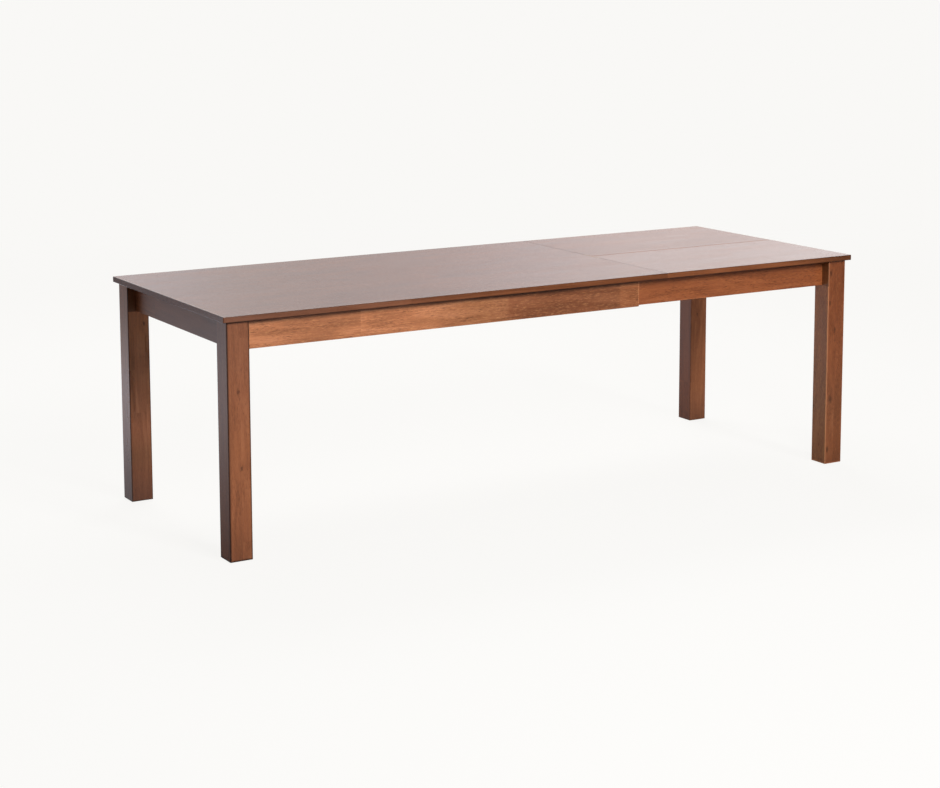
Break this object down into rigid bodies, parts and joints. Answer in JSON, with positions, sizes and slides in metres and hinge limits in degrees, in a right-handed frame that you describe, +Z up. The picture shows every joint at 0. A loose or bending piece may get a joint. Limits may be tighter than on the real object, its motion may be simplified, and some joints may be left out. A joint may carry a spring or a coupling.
{
  "type": "extending dining table",
  "caption": "Rectangular wooden dining table whose end frame pulls out on grooved aprons, with a folding leaf laid in the space.",
  "frame": {"origin": "floor, under the centre of the extended table", "axes": "+X along the table to the end that pulls out, -Y to the front long side, +Z up"},
  "size_m": [2.4, 0.9, 0.75],
  "materials": {
    "top_wood": "stained, semi-gloss lacquer",
    "frame_wood": "stained, satin lacquer",
    "inner_wood": "planed, thin lacquer",
    "steel": "zinc plated",
    "brass": "satin",
    "nylon": "matte"
  },
  "bodies": {
    "fixed_frame": {"back_fixed_apron": "frame_wood", "back_guide_rail": "inner_wood", "back_stop_block": "inner_wood", "front_fixed_apron": "frame_wood", "front_guide_rail": "inner_wood", "front_stop_block": "inner_wood", "leaf_locating_pins": "steel", "left_back_corner_block": "inner_wood", "left_back_foot_glide": "nylon", "left_back_leg": "frame_wood", "left_corner_bolts": "steel", "left_corner_nuts": "steel", "left_corner_washers": "steel", "left_end_apron": "frame_wood", "left_front_corner_block": "inner_wood", "left_front_foot_glide": "nylon", "left_front_leg": "frame_wood", "main_top": "top_wood", "storage_bearer_left": "inner_wood", "storage_bearer_middle": "inner_wood", "storage_bearer_right": "inner_wood"},
    "end_frame": {"back_sliding_apron": "frame_wood", "front_sliding_apron": "frame_wood", "right_back_corner_block": "inner_wood", "right_back_foot_glide": "nylon", "right_back_leg": "frame_wood", "right_corner_bolts": "steel", "right_corner_nuts": "steel", "right_corner_washers": "steel", "right_end_apron": "frame_wood", "right_front_corner_block": "inner_wood", "right_front_foot_glide": "nylon", "right_front_leg": "frame_wood", "tie_rail": "inner_wood"},
    "leaf_front": {"leaf_front_half": "top_wood", "leaf_front_hinge_plate_inner": "brass", "leaf_front_hinge_plate_outer": "brass"},
    "leaf_links": {"hinge_link_inner": "brass", "hinge_link_outer": "brass", "hinge_pins": "brass"},
    "leaf_back": {"leaf_back_half": "top_wood", "leaf_back_hinge_plate_inner": "brass", "leaf_back_hinge_plate_outer": "brass"}
  },
  "joints": [
    {"name": "end_frame_slide", "type": "slide", "parent": "fixed_frame", "child": "end_frame", "axis": [1, 0, 0], "range_m": [-0.8, 0]},
    {"name": "leaf_lift", "type": "slide", "parent": "fixed_frame", "child": "leaf_front", "axis": [0, 0, 1], "range_m": [0, 0.3]},
    {"name": "leaf_link_turn", "type": "hinge", "parent": "leaf_front", "child": "leaf_links", "pos_m": [0.8, -0.0032, 0.74695], "axis": [1, 0, 0], "range_deg": [0, 90]},
    {"name": "leaf_fold", "type": "hinge", "parent": "leaf_links", "child": "leaf_back", "pos_m": [0.8, 0.0032, 0.74695], "axis": [1, 0, 0], "range_deg": [0, 90]}
  ]
}
